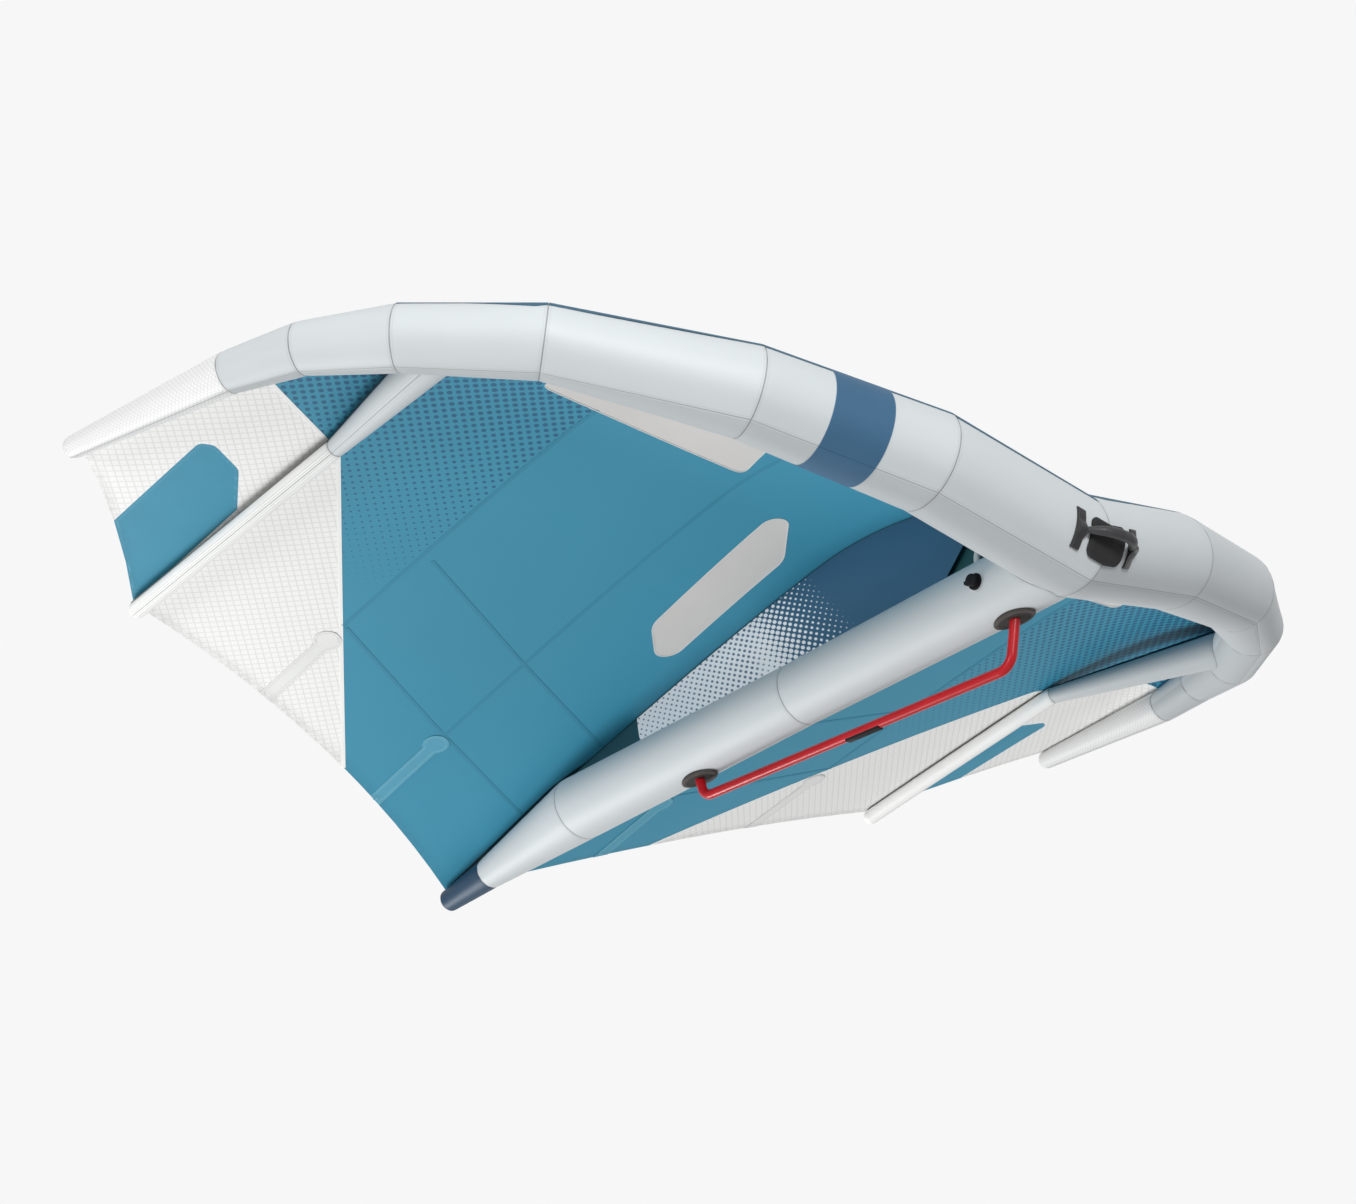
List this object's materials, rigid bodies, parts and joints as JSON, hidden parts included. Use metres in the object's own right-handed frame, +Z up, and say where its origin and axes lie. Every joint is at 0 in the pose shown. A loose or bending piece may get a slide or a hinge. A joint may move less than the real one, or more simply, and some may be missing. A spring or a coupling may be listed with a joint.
{
  "type": "wingfoil wing",
  "caption": "Inflatable hand-held wing with a curved leading edge tube, centre and quarter struts, cambered canopy, front handle and a boom under the centre strut.",
  "frame": {"origin": "on the ground under the middle of the wing's box, in its mirror plane", "axes": "+X to the wing's right half as seen from in front, -Y out of the leading edge, +Y to the tail, +Z up to the canopy's top side"},
  "size_m": [3.3816, 2.3582, 0.71],
  "materials": {
    "grey_sailcloth": "pale grey polyester sailcloth, satin weave",
    "white_ripstop": "white ripstop cloth with a fine grid of heavier threads",
    "teal_cloth": "teal canopy cloth with a fine ripstop grid",
    "halftone_cloth": "teal canopy cloth with rows of plain dots",
    "navy_cloth": "navy sailcloth, dotted towards the tail",
    "window_film": "milky clear film window with a taped rim",
    "pocket_tape": "pale teal reinforcing cloth",
    "bladder_film": "thin translucent polyurethane film",
    "red_lacquer": "glossy red anodised tube",
    "black_rubber": "matt black rubber",
    "grey_plastic": "dark grey moulded plastic",
    "black_webbing": "black woven webbing",
    "black_foam": "black foam pad, fine texture",
    "white_plastic": "white moulded plastic"
  },
  "bodies": {
    "wing": {"leading_edge_segment_1_left": "grey_sailcloth", "leading_edge_segment_2_left": "grey_sailcloth", "leading_edge_segment_3_left": "grey_sailcloth", "leading_edge_segment_4_left": "grey_sailcloth", "leading_edge_segment_5_left": "grey_sailcloth", "leading_edge_segment_6_left": "grey_sailcloth", "leading_edge_tip_left": "white_ripstop", "canopy_inner_panel_left": "teal_cloth", "canopy_middle_panel_left": "teal_cloth", "canopy_outer_panel_left": "halftone_cloth", "canopy_tip_panel_left": "white_ripstop", "canopy_tip_patch_left": "teal_cloth", "canopy_rear_window_left": "window_film", "canopy_front_window_left": "window_film", "batten_pocket_inner_left": "pocket_tape", "batten_pocket_outer_left": "pocket_tape", "quarter_strut_casing_left": "grey_sailcloth", "quarter_strut_sleeve_left": "white_ripstop", "quarter_strut_bladder_left": "bladder_film", "front_handle_strap_left": "black_webbing", "leading_edge_segment_1_right": "grey_sailcloth", "leading_edge_segment_2_right": "grey_sailcloth", "leading_edge_segment_3_right": "grey_sailcloth", "leading_edge_segment_4_right": "grey_sailcloth", "leading_edge_segment_5_right": "grey_sailcloth", "leading_edge_segment_6_right": "grey_sailcloth", "leading_edge_tip_right": "white_ripstop", "canopy_inner_panel_right": "teal_cloth", "canopy_middle_panel_right": "teal_cloth", "canopy_outer_panel_right": "halftone_cloth", "canopy_tip_panel_right": "white_ripstop", "canopy_tip_patch_right": "teal_cloth", "canopy_rear_window_right": "window_film", "canopy_front_window_right": "window_film", "batten_pocket_inner_right": "pocket_tape", "batten_pocket_outer_right": "pocket_tape", "quarter_strut_casing_right": "grey_sailcloth", "quarter_strut_sleeve_right": "white_ripstop", "quarter_strut_bladder_right": "bladder_film", "front_handle_strap_right": "black_webbing", "leading_edge_bladder": "bladder_film", "strut_front_casing": "grey_sailcloth", "strut_middle_casing": "grey_sailcloth", "strut_rear_casing": "grey_sailcloth", "strut_tail": "navy_cloth", "strut_bladder": "bladder_film", "strut_web": "navy_cloth", "boom_tube": "red_lacquer", "boom_front_seat": "grey_plastic", "boom_rear_seat": "grey_plastic", "boom_grip_mark": "black_rubber", "front_handle_pad": "black_foam", "valve_flange": "black_rubber", "air_hose": "white_plastic", "hose_clip": "grey_plastic"},
    "front_grip": {"front_handle_grip": "black_rubber"},
    "valve": {"valve_body": "black_rubber"},
    "cap": {"valve_cap": "black_rubber"},
    "clip_lever": {"hose_clip_lever": "white_plastic"}
  },
  "joints": [
    {"name": "handle_swing", "type": "hinge", "parent": "wing", "child": "front_grip", "pos_m": [0, -1.12869, 0.16729], "axis": [1, 0, 0], "range_deg": [-40, 45]},
    {"name": "valve_turn", "type": "hinge", "parent": "wing", "child": "valve", "pos_m": [-0.08578, -0.8159, 0.19879], "axis": [-1, 0, 0], "range_deg": [0, 90]},
    {"name": "cap_hinge", "type": "hinge", "parent": "valve", "child": "cap", "pos_m": [-0.09493, -0.7964, 0.19879], "axis": [0, 0, -1], "range_deg": [0, 110]},
    {"name": "clip_lever_hinge", "type": "hinge", "parent": "wing", "child": "clip_lever", "pos_m": [0, -0.80056, 0.35276], "axis": [-1, 0, 0], "range_deg": [0, 60]}
  ]
}
